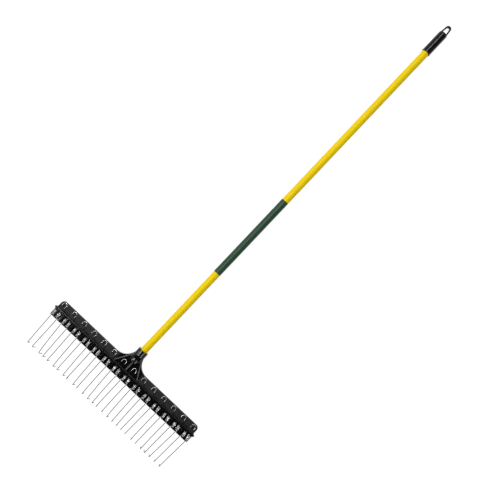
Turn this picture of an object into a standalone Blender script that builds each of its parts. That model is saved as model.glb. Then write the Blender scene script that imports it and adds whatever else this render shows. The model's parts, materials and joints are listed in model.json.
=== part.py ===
"""Dethatching rake: a moulded head with spring wire tines on a long tubular handle.

Each wire is bent into two prongs, two coils and one hairpin, and the head holds it by
its hairpin, under a bridge and a long rod. The rake lies as it rests on a floor, on its
hooks and its grip, with the head along X and the handle towards +Y. Units are metres.
"""

import math

import bmesh
import bpy
import numpy as np
from mathutils import Matrix, Vector

# Clearance between pieces that touch, and how far a cutter runs past a face
GAP = 0.0003
PAST = 0.02

# Head moulding
HEAD_WIDTH = 0.5334
HEAD_HEIGHT = 0.0531
HEAD_CORNER = 0.010
PLATE_INSET = 0.001
PLATE_THICKNESS = 0.008
PLATE_SKIN = 0.0035
BACK_WALL = 0.0025

# Coil bay, the raised frame along the lower edge
LIP_WALL = 0.0049
END_WALL = 0.0024
BAY_WALL = 0.009
BAY_EDGE = 0.0012
BAY_LAP = 0.0030
BAY_RIDGE_WIDTH = 0.0022
BAY_RIDGE_HEIGHT = 0.0018

# Spring wire tines
PAIR_COUNT = 14
PAIR_MARGIN = 0.014175
PRONG_SPACING = 0.0210
WIRE = 0.0020
COIL_RADIUS = 0.0074
COIL_PITCH = 0.00245
COIL_TURNS = 3
COIL_FLOOR = 0.00425
COIL_ROOM = 0.00055
CURL_POINTS = 8
HAIRPIN_RADIUS = 0.0062
HAIRPIN_WAIST = 0.0062
HAIRPIN_MARGIN = 0.0008
HAIRPIN_STRAIGHT = 0.0075
LEG_BEND = 0.0020
LEG_SLOPE = math.radians(9)
PRONG_SLOPE = math.radians(18)
PRONG_REACH = 0.1181
HOOK_RADIUS = 0.0050
HOOK_TURN = math.radians(97)
HOOK_LENGTH = 0.0130
HOOK_POINTS = 3
NOTCH_SIDE_ROOM = 0.0006
NOTCH_FLOOR_ROOM = 0.0010

# Rod that locks the tines in
ROD_RADIUS = 0.0018
ROD_STICKOUT = 0.0048
GROOVE_WALL = 0.0017
GROOVE_ROOF = 0.0022
GROOVE_MOUTH = 0.0028
NUT_RADIUS = 0.0046
NUT_RIM = 0.0007
NUT_WALL = 0.0014
NUT_HEIGHT = 0.0028

# Bridge over each hairpin's legs, and the pocket inside its crown
BRIDGE_WIDTH = 0.0176
BRIDGE_LENGTH = 0.0086
BRIDGE_ROOF = 0.0016
PASSAGE_WIDTH = 0.0152
PASSAGE_SINK = 0.0004
PASSAGE_RUNOUT = 0.0017
POCKET_DEPTH = 0.0024
POCKET_MARGIN = 0.0022

# Socket
SOCKET_RADIUS = 0.0164
SOCKET_LENGTH = 0.0447
SOCKET_RISE = 0.0071
SOCKET_FLOOR = 0.005
SOCKET_ROUND = 0.009
FLARE_RADIUS = 0.0435
FLARE_SINK = 0.0011
FLARE_RIM_WIDTH = 0.0028
FLARE_RIM_HEIGHT = 0.0024
FLARE_RIM_INSET = 0.0004
FLARE_RIM_TURN = 64
RIB_WIDTH = 0.003
RIB_HEIGHT = 0.0048
RIB_SPREAD = 0.0447
RIB_RISE = 0.030
BEAD_RADIUS = 0.0025
BEAD_SINK = 0.0010
BEAD_SPREAD = 0.0066
BEAD_START = 0.0018
BEAD_END = 0.001
BEAD_STEP = 0.0199
BEAD_STEP_WIDTH = 0.0120
BEAD_STEP_DEPTH = 0.0016

# Handle, its label and its screw
HANDLE_RADIUS = 0.0111
HANDLE_WALL = 0.0030
HANDLE_LENGTH = 1.2804
LABEL_START = 0.3039
LABEL_LENGTH = 0.2825
LABEL_THICKNESS = 0.0004
SCREW_HEIGHT = 0.020
SCREW_RADIUS = 0.0021
SCREW_HEAD_RADIUS = 0.0042
SCREW_HEAD = 0.0026
SCREW_RIM = 0.0010
SCREW_TIP = 0.0015
SCREW_SINK = 0.0007

# Grip with its hanging loop
GRIP_LENGTH = 0.0755
GRIP_RADIUS = 0.0130
GRIP_RIM = 0.0005
GRIP_RIM_WIDTH = 0.003
GRIP_RIM_TAPER = 0.0015
GRIP_END_WALL = 0.0035
GRIP_SHOULDER = 0.007
LOOP_WIDTH = 0.0222
LOOP_LENGTH = 0.0270
LOOP_CROWN = 0.0088
LOOP_SIDE = 0.0046
LOOP_TOP = 0.0067
LOOP_THICKNESS = 0.0064
LOOP_EDGE = 0.0012

# Facets round a turned piece, and the least angle between faces that keeps an edge sharp
ROUND = 32
SMALL_ROUND = 16
BEAD_FACETS = 12
SHARP_ANGLE = math.radians(35)

# Places that follow from the sizes
PAIR_PITCH = (HEAD_WIDTH - 2 * PAIR_MARGIN) / (PAIR_COUNT - 1)
COIL_Y = LIP_WALL + COIL_ROOM + WIRE / 2 + COIL_RADIUS
COIL_Z = COIL_FLOOR + WIRE / 2 + COIL_RADIUS
BAY_TOP_Y = COIL_Y + COIL_RADIUS + WIRE / 2 + COIL_ROOM / 2
GROOVE_RADIUS = ROD_RADIUS + GAP
ROD_Y = BAY_TOP_Y + GROOVE_WALL + GROOVE_RADIUS
FRAME_Y = ROD_Y + GROOVE_RADIUS + GROOVE_WALL
HAIRPIN_Z = WIRE / 2 + GAP
CROWN_Y = HEAD_HEIGHT - HAIRPIN_MARGIN - WIRE / 2 - HAIRPIN_RADIUS
LEG_START_Y = COIL_Y - COIL_RADIUS * math.sin(LEG_SLOPE)
LEG_START_Z = COIL_Z - COIL_RADIUS * math.cos(LEG_SLOPE)
ROD_Z = LEG_START_Z - (ROD_Y - LEG_START_Y) * math.tan(LEG_SLOPE) + WIRE / 2 + GAP + ROD_RADIUS
FRAME_Z = ROD_Z + ROD_RADIUS + GROOVE_ROOF
BRIDGE_Y = FRAME_Y + BRIDGE_LENGTH
SOCKET_Y = HEAD_HEIGHT + SOCKET_RISE
SOCKET_TOP = SOCKET_Y + SOCKET_LENGTH
HANDLE_Y = SOCKET_Y + SOCKET_FLOOR + GAP
HANDLE_TOP = HANDLE_Y + HANDLE_LENGTH
GRIP_TOP = HANDLE_TOP + GAP + GRIP_END_WALL
GRIP_Y = GRIP_TOP - GRIP_LENGTH
SCREW_Y = SOCKET_Y + SCREW_HEIGHT


def arc(centre_u, centre_v, radius, start, end, steps):
    """Points round a centre, from one angle to the other, in degrees."""
    points = []
    for step in range(steps + 1):
        angle = math.radians(start + (end - start) * step / steps)
        points.append((centre_u + radius * math.cos(angle), centre_v + radius * math.sin(angle)))
    return points


def add_material(name, colour, roughness, metallic):
    material = bpy.data.materials.new(name)
    material.use_nodes = True
    shader = material.node_tree.nodes["Principled BSDF"]
    shader.inputs["Base Color"].default_value = (*colour, 1)
    shader.inputs["Roughness"].default_value = roughness
    shader.inputs["Metallic"].default_value = metallic
    material.diffuse_color = (*colour, 1)
    return material


def add_piece(name, data, material, frame, location=(0, 0, 0)):
    piece = bpy.data.objects.new(name, data)
    bpy.context.scene.collection.objects.link(piece)
    data.materials.clear()
    data.materials.append(material)
    piece.parent = frame
    piece.location = location
    if isinstance(data, bpy.types.Mesh):
        data.shade_smooth()
        data.set_sharp_from_angle(angle=SHARP_ANGLE)
    return piece


def to_mesh(name, bm):
    bmesh.ops.recalc_face_normals(bm, faces=bm.faces)
    mesh = bpy.data.meshes.new(name)
    bm.to_mesh(mesh)
    bm.free()
    return mesh


def add_prism(bm, outline, axis, start, end):
    """Extrude a closed outline along one axis.

    The outline holds the other two coordinates, in the order YZ, ZX or XY.
    """
    places = {
        "X": lambda u, v, w: (w, u, v),
        "Y": lambda u, v, w: (v, w, u),
        "Z": lambda u, v, w: (u, v, w),
    }
    place = places[axis]
    low = bm.faces.new([bm.verts.new(place(u, v, start)) for u, v in outline])
    turned = bmesh.ops.extrude_face_region(bm, geom=[low])["geom"]
    moved = [item for item in turned if isinstance(item, bmesh.types.BMVert)]
    bmesh.ops.translate(bm, verts=moved, vec=Vector(place(0, 0, end - start)))


def add_box(bm, low, high):
    outline = [(low[0], low[1]), (high[0], low[1]), (high[0], high[1]), (low[0], high[1])]
    add_prism(bm, outline, "Z", low[2], high[2])


def add_lathe(bm, profile, segments, centre_x=0.0, centre_z=0.0):
    """Turn a profile of (radius, y) points about a line along Y.

    A profile that starts and ends on the line is closed by it. Any other is a loop.
    """
    rings = []
    for radius, y in profile:
        count = 1 if radius == 0 else segments
        ring = []
        for index in range(count):
            angle = 2 * math.pi * (index + 0.5) / segments
            x = centre_x + radius * math.sin(angle)
            z = centre_z + radius * math.cos(angle)
            ring.append(bm.verts.new((x, y, z)))
        rings.append(ring)
    pairs = list(zip(rings, rings[1:]))
    if len(rings[0]) > 1:
        pairs.append((rings[-1], rings[0]))
    for one, other in pairs:
        for index in range(segments):
            after = (index + 1) % segments
            corners = [one[index % len(one)], one[after % len(one)]]
            corners += [other[after % len(other)], other[index % len(other)]]
            unique = list(dict.fromkeys(corners))
            bm.faces.new(unique)


def combine(target, tool_bm, operation):
    """Join a closed shape to the target, or cut it out of it."""
    tool = bpy.data.objects.new(f"{target.name}_{operation.lower()}", to_mesh("tool", tool_bm))
    bpy.context.scene.collection.objects.link(tool)
    tool.hide_render = True
    tool.display_type = "WIRE"
    tool.parent = target
    modifier = target.modifiers.new(operation.title(), "BOOLEAN")
    modifier.operation = operation
    modifier.solver = "EXACT"
    modifier.object = tool


def pair_centres():
    """The X position of each wire's middle."""
    return [(index - (PAIR_COUNT - 1) / 2) * PAIR_PITCH for index in range(PAIR_COUNT)]


# Head


def flare_x():
    """X of the centre that the hollow flare is drawn round."""
    return SOCKET_RADIUS - FLARE_SINK + FLARE_RADIUS


def plate_outline():
    """Plan of the plate: square lower corners, round upper ones and hollow flares up to the socket."""
    half = HEAD_WIDTH / 2 - PLATE_INSET
    neck = SOCKET_RADIUS - FLARE_SINK
    right = [(half, PLATE_INSET)]
    right += arc(half - HEAD_CORNER, HEAD_HEIGHT - HEAD_CORNER, HEAD_CORNER, 0, 90, 5)
    right += arc(flare_x(), HEAD_HEIGHT + FLARE_RADIUS, FLARE_RADIUS, 270, 180, 9)
    right += [(neck - RIB_WIDTH, HEAD_HEIGHT + FLARE_RADIUS + RIB_WIDTH)]
    return right + [(-x, y) for x, y in reversed(right)]


def window_range(x):
    """Low and high X of the window that holds one wire's coils."""
    inner_half = HEAD_WIDTH / 2 - END_WALL
    reach = (PAIR_PITCH - BAY_WALL) / 2
    return max(x - reach, -inner_half), min(x + reach, inner_half)


def bay_frame():
    """Raised frame that laps over the plate's lower edge, with a window for each wire's coils."""
    bm = bmesh.new()
    half = HEAD_WIDTH / 2
    add_box(bm, (-half, 0, -BAY_LAP), (half, FRAME_Y, FRAME_Z))
    front = [edge for edge in bm.edges if all(vert.co.z > 0 for vert in edge.verts)]
    bmesh.ops.bevel(bm, geom=front, offset=BAY_EDGE, segments=1, profile=0.5, affect="EDGES")
    frame = bpy.data.objects.new("bay_frame", to_mesh("bay_frame", bm))
    bpy.context.scene.collection.objects.link(frame)
    windows = bmesh.new()
    for x in pair_centres():
        low, high = window_range(x)
        add_box(windows, (low, LIP_WALL, -PAST), (high, BAY_TOP_Y, FRAME_Z + PAST))
    combine(frame, windows, "DIFFERENCE")
    graph = bpy.context.evaluated_depsgraph_get()
    cut = bmesh.new()
    cut.from_object(frame, graph)
    for helper in [*frame.children, frame]:
        bpy.data.objects.remove(helper, do_unlink=True)
    return cut


def add_bridges(bm):
    for x in pair_centres():
        low = (x - BRIDGE_WIDTH / 2, FRAME_Y - GROOVE_WALL / 2, -PLATE_INSET)
        high = (x + BRIDGE_WIDTH / 2, BRIDGE_Y, bridge_top())
        add_box(bm, low, high)


def leg_height(y):
    """Height of a leg's centre line at one place along the handle's direction."""
    return max(HAIRPIN_Z, LEG_START_Z - (y - LEG_START_Y) * math.tan(LEG_SLOPE))


def bridge_ceiling():
    return leg_height(ROD_Y + GROOVE_RADIUS) + WIRE / 2 + GAP


def bridge_top():
    return bridge_ceiling() + BRIDGE_ROOF


def add_bay_ridges(bm):
    """Thin ridge on the front of each wall between two windows."""
    middles = [x + PAIR_PITCH / 2 for x in pair_centres()[:-1]]
    for x in middles:
        low = (x - BAY_RIDGE_WIDTH / 2, LIP_WALL / 2, FRAME_Z - PLATE_INSET)
        high = (x + BAY_RIDGE_WIDTH / 2, BAY_TOP_Y + GROOVE_WALL / 2, FRAME_Z + BAY_RIDGE_HEIGHT)
        add_box(bm, low, high)


def add_socket(bm):
    profile = [(0, SOCKET_Y)]
    inner = SOCKET_RADIUS - SOCKET_ROUND
    for v, u in arc(SOCKET_Y + SOCKET_ROUND, inner, SOCKET_ROUND, 180, 90, 5):
        profile.append((u, v))
    profile += [(SOCKET_RADIUS, SOCKET_TOP), (0, SOCKET_TOP)]
    add_lathe(bm, profile, ROUND)


def add_face_ribs(bm):
    """Rib up the middle and one slanting down each side of the socket."""
    low_y = FRAME_Y - GROOVE_WALL / 2
    half = RIB_WIDTH / 2
    add_box(bm, (-half, low_y, -PLATE_INSET), (half, SOCKET_Y + SOCKET_ROUND, RIB_HEIGHT))
    high_y = HEAD_HEIGHT + RIB_RISE
    inner = SOCKET_RADIUS - RIB_WIDTH
    for side in (-1, 1):
        outline = [
            (side * (inner - half), high_y),
            (side * (inner + half), high_y),
            (side * (RIB_SPREAD + half), low_y),
            (side * (RIB_SPREAD - half), low_y),
        ]
        add_prism(bm, outline, "Z", -PLATE_INSET, RIB_HEIGHT)


def add_flare_rims(bm):
    """Raised rim along each flare, from the socket down towards the plate's upper edge."""
    centre = (flare_x(), HEAD_HEIGHT + FLARE_RADIUS)
    outer = FLARE_RADIUS + FLARE_RIM_WIDTH
    inner = FLARE_RADIUS + FLARE_RIM_INSET
    outline = arc(*centre, inner, 180, 180 + FLARE_RIM_TURN, 7)
    outline += arc(*centre, outer, 180 + FLARE_RIM_TURN, 180, 7)
    for side in (-1, 1):
        add_prism(bm, [(side * x, y) for x, y in outline], "Z", -PLATE_INSET, FLARE_RIM_HEIGHT)


def add_beads(bm):
    """Raised beads with round ends, in two lines down the front of the socket."""
    centre_z = math.sqrt(SOCKET_RADIUS**2 - BEAD_SPREAD**2) - BEAD_SINK
    start = SOCKET_Y + BEAD_START
    end = SOCKET_TOP - BEAD_END
    profile = [(0, start)]
    profile += arc(0, start + BEAD_RADIUS, BEAD_RADIUS, -90, 0, 3)[1:]
    profile += arc(0, end - BEAD_RADIUS, BEAD_RADIUS, 0, 90, 3)[:-1]
    profile += [(0, end)]
    for side in (-1, 1):
        add_lathe(bm, profile, BEAD_FACETS, side * BEAD_SPREAD, centre_z)


def add_leg_passages(bm):
    """Way for the two legs, under the rod and under the bridge."""
    half = PASSAGE_WIDTH / 2
    under_rod = leg_height(BAY_TOP_Y) + WIRE / 2 + GAP
    for x in pair_centres():
        low_y = BAY_TOP_Y - GROOVE_WALL
        high = (x + half, ROD_Y + GROOVE_RADIUS, under_rod)
        add_box(bm, (x - half, low_y, -PASSAGE_SINK), high)


def add_bridge_passages(bm):
    half = PASSAGE_WIDTH / 2
    for x in pair_centres():
        low = (x - half, ROD_Y, -PASSAGE_SINK)
        high = (x + half, BRIDGE_Y + PASSAGE_RUNOUT, bridge_ceiling())
        add_box(bm, low, high)


def add_pockets(bm):
    """Deep pocket in the face of the plate, inside each hairpin's crown."""
    half = HAIRPIN_WAIST - WIRE / 2 - GAP * 2
    low_y = BRIDGE_Y + POCKET_MARGIN
    for x in pair_centres():
        outline = [(x - half, low_y), (x + half, low_y)]
        outline += arc(x, CROWN_Y, half, 0, 180, 4)
        add_prism(bm, outline, "Z", -POCKET_DEPTH, PAST)


def add_back_hollows(bm):
    """Hollows between ribs on the back of the plate, which leave a thin moulded skin."""
    half_plate = HEAD_WIDTH / 2 - PLATE_INSET - BACK_WALL
    reach = (PAIR_PITCH - BACK_WALL) / 2
    for x in pair_centres():
        low = (max(x - reach, -half_plate), PLATE_INSET + BACK_WALL, -PLATE_THICKNESS - PAST)
        end = HEAD_HEIGHT - BACK_WALL
        if abs(x) + reach > HEAD_WIDTH / 2 - HEAD_CORNER:
            end = HEAD_HEIGHT - HEAD_CORNER
        high = (min(x + reach, half_plate), end, -PLATE_SKIN)
        add_box(bm, low, high)


def add_prong_notches(bm):
    """Slot through the lip for each prong, open to the front so that the prong can lift."""
    half = WIRE / 2 + NOTCH_SIDE_ROOM
    rise = COIL_RADIUS * math.cos(PRONG_SLOPE)
    exit_y = COIL_Y + COIL_RADIUS * math.sin(PRONG_SLOPE)
    edge_z = COIL_Z - rise - exit_y * math.tan(PRONG_SLOPE)
    floor = edge_z - WIRE / 2 / math.cos(PRONG_SLOPE) - NOTCH_FLOOR_ROOM
    for x in pair_centres():
        for side in (-1, 1):
            middle = x + side * PRONG_SPACING / 2
            low = (middle - half, -PLATE_INSET, floor)
            high = (middle + half, LIP_WALL + WIRE, FRAME_Z + PAST)
            add_box(bm, low, high)


def add_rod_groove(bm):
    """Keyhole groove along the whole frame, which the rod slides into from one end."""
    half = GROOVE_MOUTH / 2
    turn = math.degrees(math.asin(half / GROOVE_RADIUS))
    outline = arc(ROD_Y, ROD_Z, GROOVE_RADIUS, 90 + turn, 450 - turn, 10)
    outline += [(ROD_Y + half, FRAME_Z + PAST), (ROD_Y - half, FRAME_Z + PAST)]
    add_prism(bm, outline, "X", -HEAD_WIDTH / 2 - PAST, HEAD_WIDTH / 2 + PAST)


def add_bore(bm):
    """Bore for the handle, closed at its lower end."""
    floor_y = SOCKET_Y + SOCKET_FLOOR
    radius = HANDLE_RADIUS + GAP
    profile = [(0, floor_y), (radius, floor_y), (radius, SOCKET_TOP + PAST), (0, SOCKET_TOP + PAST)]
    add_lathe(bm, profile, ROUND)


def add_bead_step(bm):
    """Flat across the socket, which parts the upper beads from the lower ones."""
    low_y = SOCKET_Y + BEAD_STEP - BEAD_STEP_WIDTH / 2
    low = (-SOCKET_RADIUS, low_y, SOCKET_RADIUS - BEAD_STEP_DEPTH)
    high = (SOCKET_RADIUS, low_y + BEAD_STEP_WIDTH, SOCKET_RADIUS + PAST)
    add_box(bm, low, high)


def add_screw_cut(bm, radius, low, high):
    """Round cutter across the handle, on the screw's line."""
    outline = arc(0, SCREW_Y, radius, 0, 360 - 360 / SMALL_ROUND, SMALL_ROUND - 1)
    add_prism(bm, outline, "Z", low, high)


def add_screw_seat(bm):
    add_screw_cut(bm, SCREW_HEAD_RADIUS + GAP, -SOCKET_RADIUS - PAST, screw_seat())


def add_screw_hole(bm):
    add_screw_cut(bm, SCREW_RADIUS + GAP, -SOCKET_RADIUS - PAST, 0)


def screw_seat():
    """Height of the flat under the screw's head, sunk into the round of the socket."""
    return SCREW_SINK - math.sqrt(SOCKET_RADIUS**2 - (SCREW_HEAD_RADIUS + GAP) ** 2)


def make_head(material, frame):
    bm = bmesh.new()
    add_prism(bm, plate_outline(), "Z", -PLATE_THICKNESS, 0)
    head = add_piece("rake_head", to_mesh("rake_head", bm), material, frame)
    combine(head, bay_frame(), "UNION")
    joined = [add_bridges, add_bay_ridges, add_socket, add_face_ribs, add_flare_rims, add_beads]
    cut = [add_leg_passages, add_bridge_passages, add_pockets, add_back_hollows, add_prong_notches]
    cut += [add_rod_groove, add_bead_step, add_bore, add_screw_seat, add_screw_hole]
    for shape in joined:
        tool = bmesh.new()
        shape(tool)
        combine(head, tool, "UNION")
    for shape in cut:
        tool = bmesh.new()
        shape(tool)
        combine(head, tool, "DIFFERENCE")
    return head


# Tines


def half_wire():
    """Points of one half of a wire, from the middle of its crown to the tip of its hook."""
    points = []
    for x, y in arc(0, CROWN_Y, HAIRPIN_RADIUS, 90, 0, 3):
        points.append((x, y, HAIRPIN_Z))
    waist_y = CROWN_Y - HAIRPIN_STRAIGHT
    points.append((HAIRPIN_WAIST, waist_y, leg_height(waist_y)))

    total = 360 * COIL_TURNS - math.degrees(LEG_SLOPE + PRONG_SLOPE)
    coil_start = PRONG_SPACING / 2 - COIL_PITCH * total / 360
    bend_y = BAY_TOP_Y + LEG_BEND
    points.append((coil_start, bend_y, leg_height(bend_y)))

    steps = round(total / 360 * CURL_POINTS)
    for step in range(steps + 1):
        turned = math.degrees(LEG_SLOPE) + total * step / steps
        x = coil_start + COIL_PITCH * total * step / steps / 360
        y = COIL_Y - COIL_RADIUS * math.sin(math.radians(turned))
        z = COIL_Z - COIL_RADIUS * math.cos(math.radians(turned))
        points.append((x, y, z))

    x, y, z = points[-1]
    run = (y + PRONG_REACH) / math.cos(PRONG_SLOPE)
    bend_turn = HOOK_TURN - PRONG_SLOPE
    run -= HOOK_RADIUS * math.tan(bend_turn / 2)
    forward = Vector((0, -math.cos(PRONG_SLOPE), -math.sin(PRONG_SLOPE)))
    start = Vector((x, y, z)) + forward * run
    centre = start + Vector((0, -forward.z, forward.y)) * HOOK_RADIUS
    for step in range(HOOK_POINTS + 1):
        spin = Matrix.Rotation(bend_turn * step / HOOK_POINTS, 3, "X")
        points.append(tuple(centre + spin @ (start - centre)))
    x, y, z = points[-1]
    back = HOOK_TURN - math.pi / 2
    points.append((x, y + HOOK_LENGTH * math.sin(back), z - HOOK_LENGTH * math.cos(back)))
    return points


def wire_points():
    """Whole path of one wire, from hook to hook, about the middle of its coils' axis."""
    right = half_wire()
    left = [(-x, y, z) for x, y, z in reversed(right[1:])]
    return [Vector((x, y - COIL_Y, z - COIL_Z)) for x, y, z in left + right]


def least_gap(points):
    """Smallest clear distance between stretches of one wire that lie well apart along it."""
    fine = []
    for one, other in zip(points, points[1:]):
        count = max(2, round((other - one).length / (WIRE / 2)))
        for step in range(count):
            fine.append(one.lerp(other, step / count))
    fine = np.array(fine)
    lengths = np.linalg.norm(np.diff(fine, axis=0), axis=1)
    along = np.concatenate([[0], np.cumsum(lengths)])
    apart = np.linalg.norm(fine[:, None] - fine[None], axis=2)
    far_along = np.abs(along[:, None] - along[None]) > COIL_RADIUS
    return apart[far_along].min() - WIRE


def make_tines(material, frame):
    points = wire_points()
    curve = bpy.data.curves.new("double_tine", "CURVE")
    curve.dimensions = "3D"
    curve.bevel_depth = WIRE / 2
    curve.bevel_resolution = 1
    curve.use_fill_caps = True
    spline = curve.splines.new("POLY")
    spline.points.add(len(points) - 1)
    for target, point in zip(spline.points, points):
        target.co = (*point, 1)
    print(f"Least gap of a wire to itself: {least_gap(points) * 1000:.2f} mm")
    tines = []
    for index, x in enumerate(pair_centres()):
        name = f"double_tine_{index + 1:02d}"
        tines.append(add_piece(name, curve, material, frame, (x, COIL_Y, COIL_Z)))
    return tines


def make_rod(material, frame):
    bm = bmesh.new()
    outline = arc(ROD_Y, ROD_Z, ROD_RADIUS, 0, 330, 11)
    reach = HEAD_WIDTH / 2 + ROD_STICKOUT
    add_prism(bm, outline, "X", -reach, reach)
    add_piece("tine_rod", to_mesh("tine_rod", bm), material, frame)


def make_push_nut(name, side, material, frame):
    """Steel nut with a raised middle, pushed over the rod's end."""
    bm = bmesh.new()
    inner = ROD_RADIUS + GAP
    start = HEAD_WIDTH / 2 + GAP
    end = start + NUT_HEIGHT
    profile = [(inner, start), (NUT_RADIUS, start), (NUT_RADIUS, start + NUT_RIM)]
    profile += [(inner + NUT_WALL, end), (inner, end)]
    add_lathe(bm, profile, SMALL_ROUND)
    turn = Matrix.Rotation(-side * math.pi / 2, 4, "Z")
    bmesh.ops.transform(bm, matrix=turn, verts=bm.verts)
    bmesh.ops.translate(bm, vec=(0, ROD_Y, ROD_Z), verts=bm.verts)
    add_piece(name, to_mesh(name, bm), material, frame)


# Handle


def make_handle(material, frame):
    bm = bmesh.new()
    inner = HANDLE_RADIUS - HANDLE_WALL
    profile = [(HANDLE_RADIUS, HANDLE_Y), (HANDLE_RADIUS, HANDLE_TOP)]
    profile += [(inner, HANDLE_TOP), (inner, HANDLE_Y)]
    add_lathe(bm, profile, ROUND)
    handle = add_piece("handle_tube", to_mesh("handle_tube", bm), material, frame)
    hole = bmesh.new()
    add_screw_hole(hole)
    combine(handle, hole, "DIFFERENCE")


def make_label(material, frame):
    """Printed film round the handle."""
    bm = bmesh.new()
    inner = HANDLE_RADIUS + GAP
    outer = inner + LABEL_THICKNESS
    start = SOCKET_TOP + LABEL_START
    end = start + LABEL_LENGTH
    add_lathe(bm, [(outer, start), (outer, end), (inner, end), (inner, start)], ROUND)
    add_piece("label_sleeve", to_mesh("label_sleeve", bm), material, frame)


def make_screw(material, frame):
    """Screw with a domed head, through the back of the socket into the handle."""
    bm = bmesh.new()
    tip = HANDLE_RADIUS - HANDLE_WALL - SCREW_TIP
    seat = GAP - screw_seat()
    profile = [(0, tip), (SCREW_RADIUS, tip), (SCREW_RADIUS, seat), (SCREW_HEAD_RADIUS, seat)]
    for cosine, sine in arc(0, 0, 1, 0, 90, 3)[:-1]:
        rise = SCREW_RIM + (SCREW_HEAD - SCREW_RIM) * sine
        profile.append((SCREW_HEAD_RADIUS * cosine, seat + rise))
    profile.append((0, seat + SCREW_HEAD))
    add_lathe(bm, profile, SMALL_ROUND)
    bmesh.ops.transform(bm, matrix=Matrix.Rotation(-math.pi / 2, 4, "X"), verts=bm.verts)
    bmesh.ops.translate(bm, vec=(0, SCREW_Y, 0), verts=bm.verts)
    add_piece("socket_screw", to_mesh("socket_screw", bm), material, frame)


def loop_outline(base, crown, base_y, top_y):
    """Plan with slanting sides that run into a round top."""
    centre_y = top_y - crown
    distance = math.hypot(base, centre_y - base_y)
    tangent = math.degrees(math.acos(crown / distance) - math.atan2(centre_y - base_y, base))
    right = [(base, base_y), *arc(0, centre_y, crown, tangent, 90, 6)]
    return right + [(-x, y) for x, y in reversed(right[:-1])]


def make_grip(material, frame):
    bm = bmesh.new()
    inner = HANDLE_RADIUS + GAP
    rim = GRIP_RADIUS + GRIP_RIM
    shoulder_y = GRIP_TOP - GRIP_SHOULDER
    rim_end = GRIP_Y + GRIP_RIM_WIDTH
    half = LOOP_WIDTH / 2
    profile = [(0, HANDLE_TOP + GAP), (inner, HANDLE_TOP + GAP), (inner, GRIP_Y)]
    profile += [(GRIP_RADIUS, GRIP_Y), (rim, GRIP_Y + GRIP_RIM), (rim, rim_end)]
    profile += [(GRIP_RADIUS, rim_end + GRIP_RIM_TAPER)]
    for cosine, sine in arc(0, 0, 1, 0, 90, 3):
        profile.append((half + (GRIP_RADIUS - half) * cosine, shoulder_y + GRIP_SHOULDER * sine))
    profile.append((0, GRIP_TOP))
    add_lathe(bm, profile, ROUND)
    grip = add_piece("grip", to_mesh("grip", bm), material, frame)
    tab = bmesh.new()
    loop_top = GRIP_TOP + LOOP_LENGTH
    outline = loop_outline(half, LOOP_CROWN, GRIP_TOP - GRIP_END_WALL, loop_top)
    add_prism(tab, outline, "Z", -LOOP_THICKNESS / 2, LOOP_THICKNESS / 2)
    rims = []
    for edge in tab.edges:
        flat = abs(edge.verts[0].co.z - edge.verts[1].co.z) < GAP
        if flat and all(vert.co.y > GRIP_TOP - GRIP_END_WALL / 2 for vert in edge.verts):
            rims.append(edge)
    bmesh.ops.bevel(tab, geom=rims, offset=LOOP_EDGE, segments=2, profile=0.5, affect="EDGES")
    combine(grip, tab, "UNION")
    hole = bmesh.new()
    opening = loop_outline(half - LOOP_SIDE, LOOP_CROWN - LOOP_SIDE, GRIP_TOP + GAP, loop_top - LOOP_TOP)
    add_prism(hole, opening, "Z", -LOOP_THICKNESS, LOOP_THICKNESS)
    combine(grip, hole, "DIFFERENCE")
    return grip


# Rest on the floor


def points_of(pieces):
    """All corners of these pieces, in the rake's own frame."""
    graph = bpy.context.evaluated_depsgraph_get()
    found = []
    for piece in pieces:
        evaluated = piece.evaluated_get(graph)
        mesh = evaluated.to_mesh()
        place = Matrix.Translation(piece.location)
        found += [place @ vert.co for vert in mesh.vertices]
        evaluated.to_mesh_clear()
    return np.array(found)


def lowest(points, tilt):
    """Least height of these points once the rake is tilted about X."""
    return (points[:, 2] * math.cos(tilt) + points[:, 1] * math.sin(tilt)).min()


def lay_on_floor(frame, hooks, grip, pieces):
    """Tilt the rake until its hooks and grip touch the floor, and centre its box on the origin."""
    hook_points = points_of(hooks)
    grip_points = points_of([grip])
    low, high = -0.5, 0.5
    for _ in range(50):
        tilt = (low + high) / 2
        if lowest(hook_points, tilt) < lowest(grip_points, tilt):
            high = tilt
        else:
            low = tilt
    turn = Matrix.Rotation(tilt, 4, "X")
    turned = points_of(pieces) @ np.array(turn.to_3x3()).T
    middle = (turned.min(axis=0) + turned.max(axis=0)) / 2
    frame.rotation_euler = (tilt, 0, 0)
    frame.location = (-middle[0], -middle[1], -turned[:, 2].min())
    place = ", ".join(f"{value:.6f}" for value in frame.location)
    print(f"Tilt: {math.degrees(tilt):.5f} degrees, place: {place}")


def main():
    for old in list(bpy.data.objects):
        bpy.data.objects.remove(old, do_unlink=True)
    frame = bpy.data.objects.new("rake_frame", None)
    bpy.context.scene.collection.objects.link(frame)
    plastic = add_material("black_plastic", (0.030, 0.029, 0.030), 0.48, 0.0)
    rubber = add_material("grip_rubber", (0.022, 0.022, 0.022), 0.6, 0.0)
    steel = add_material("spring_steel", (0.62, 0.62, 0.62), 0.3, 1.0)
    dark_steel = add_material("dark_steel", (0.05, 0.05, 0.055), 0.45, 1.0)
    yellow = add_material("yellow_fibreglass", (0.83, 0.60, 0.010), 0.35, 0.0)
    green = add_material("label_green", (0.026, 0.075, 0.045), 0.4, 0.0)
    head = make_head(plastic, frame)
    tines = make_tines(steel, frame)
    make_rod(dark_steel, frame)
    make_push_nut("push_nut_left", -1, dark_steel, frame)
    make_push_nut("push_nut_right", 1, dark_steel, frame)
    make_handle(yellow, frame)
    make_label(green, frame)
    make_screw(dark_steel, frame)
    grip = make_grip(rubber, frame)
    bpy.context.view_layer.update()
    lay_on_floor(frame, tines, grip, [head, grip, *tines])


main()
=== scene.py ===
import json
import math

import bpy
from mathutils import Matrix, Vector


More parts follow.
